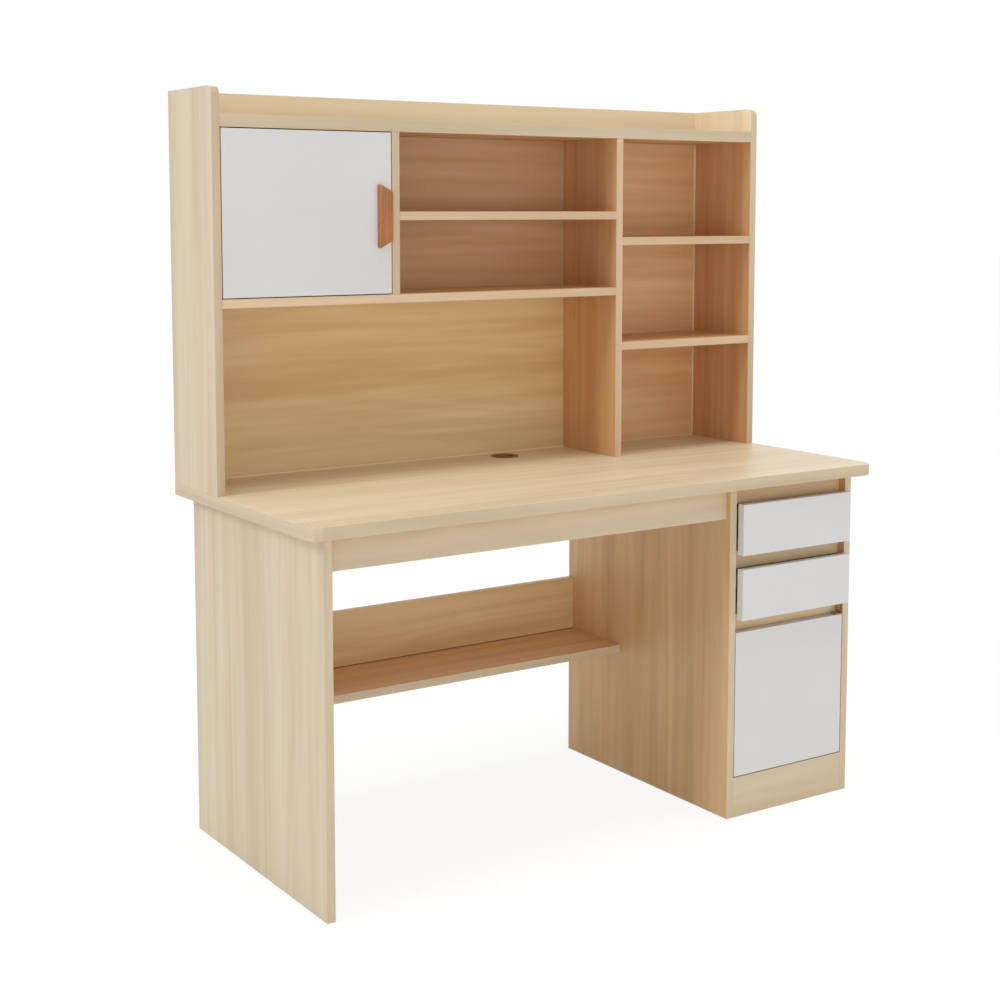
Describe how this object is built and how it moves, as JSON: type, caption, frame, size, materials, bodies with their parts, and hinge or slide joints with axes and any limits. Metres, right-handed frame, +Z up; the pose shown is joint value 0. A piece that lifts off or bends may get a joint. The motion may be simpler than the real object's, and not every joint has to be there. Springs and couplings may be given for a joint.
{
  "type": "student desk with hutch",
  "caption": "Student desk with a shelf hutch: oak-look boards, white inset doors and drawer fronts, a drawer pedestal, an open knee space with a foot shelf and a cable grommet.",
  "frame": {"origin": "on the floor under the middle of the desktop's outline", "axes": "+X to the right along the desk as the sitter sees it, +Y from the sitter to the back, +Z up"},
  "size_m": [1.4, 0.61, 1.545],
  "materials": {
    "oak_laminate": "satin",
    "white_lacquer": "satin",
    "amber_wood": "satin",
    "brown_plastic": "matte",
    "zinc_steel": "satin",
    "beech": "matte"
  },
  "bodies": {
    "desk": {"desktop": "oak_laminate", "left_leg_panel": "oak_laminate", "pedestal_left_panel": "oak_laminate", "pedestal_right_panel": "oak_laminate", "front_apron": "oak_laminate", "modesty_panel": "oak_laminate", "foot_shelf": "oak_laminate", "pedestal_plinth": "oak_laminate", "pedestal_bottom": "oak_laminate", "pedestal_top_rail": "oak_laminate", "pedestal_middle_rail": "oak_laminate", "pedestal_lower_rail": "oak_laminate", "pedestal_back_panel": "oak_laminate", "hutch_left_side": "oak_laminate", "hutch_right_side": "oak_laminate", "hutch_top_board": "oak_laminate", "hutch_back_panel": "oak_laminate", "hutch_short_divider": "oak_laminate", "hutch_main_divider": "oak_laminate", "hutch_long_shelf": "oak_laminate", "hutch_middle_shelf": "oak_laminate", "hutch_right_upper_shelf": "oak_laminate", "hutch_right_lower_shelf": "oak_laminate", "cable_grommet": "brown_plastic", "cam_discs": "zinc_steel", "cam_bolts": "zinc_steel", "dowels": "beech", "upper_drawer_outer_rails": "zinc_steel", "lower_drawer_outer_rails": "zinc_steel", "carcass_screws": "zinc_steel", "pivot_bushes": "brown_plastic", "cabinet_door_bracket": "brown_plastic", "door_catches": "brown_plastic", "back_panel_screws": "zinc_steel"},
    "hutch_door": {"hutch_door_panel": "white_lacquer", "hutch_door_pull": "amber_wood", "hutch_door_pull_screws": "zinc_steel", "hutch_door_pins": "zinc_steel", "hutch_door_strike": "zinc_steel"},
    "cabinet_door": {"cabinet_door_panel": "white_lacquer", "cabinet_door_pins": "zinc_steel", "cabinet_door_strike": "zinc_steel"},
    "upper_drawer": {"upper_drawer_front": "white_lacquer", "upper_drawer_left_side": "oak_laminate", "upper_drawer_right_side": "oak_laminate", "upper_drawer_back": "oak_laminate", "upper_drawer_bottom": "oak_laminate", "upper_drawer_inner_rails": "zinc_steel", "upper_drawer_fittings": "zinc_steel"},
    "lower_drawer": {"lower_drawer_front": "white_lacquer", "lower_drawer_left_side": "oak_laminate", "lower_drawer_right_side": "oak_laminate", "lower_drawer_back": "oak_laminate", "lower_drawer_bottom": "oak_laminate", "lower_drawer_inner_rails": "zinc_steel", "lower_drawer_fittings": "zinc_steel"},
    "upper_runner": {"upper_drawer_middle_rails": "zinc_steel"},
    "lower_runner": {"lower_drawer_middle_rails": "zinc_steel"}
  },
  "joints": [
    {"name": "hutch_door_hinge", "type": "hinge", "parent": "desk", "child": "hutch_door", "pos_m": [-0.668, 0.101, 1.299], "axis": [0, 0, -1], "range_deg": [0, 105]},
    {"name": "cabinet_door_hinge", "type": "hinge", "parent": "desk", "child": "cabinet_door", "pos_m": [0.628, -0.269, 0.248], "axis": [0, 0, 1], "range_deg": [0, 105]},
    {"name": "upper_drawer_slide", "type": "slide", "parent": "desk", "child": "upper_drawer", "axis": [0, -1, 0], "range_m": [-0.02, 0.38]},
    {"name": "lower_drawer_slide", "type": "slide", "parent": "desk", "child": "lower_drawer", "axis": [0, -1, 0], "range_m": [-0.02, 0.38]},
    {"name": "upper_runner_slide", "type": "slide", "parent": "desk", "child": "upper_runner", "axis": [0, -1, 0], "range_m": [-0.01, 0.19]},
    {"name": "lower_runner_slide", "type": "slide", "parent": "desk", "child": "lower_runner", "axis": [0, -1, 0], "range_m": [-0.01, 0.19]}
  ],
  "couplings": [
    {"joint": "upper_runner_slide", "follows": "upper_drawer_slide", "ratio": 0.5},
    {"joint": "lower_runner_slide", "follows": "lower_drawer_slide", "ratio": 0.5}
  ]
}
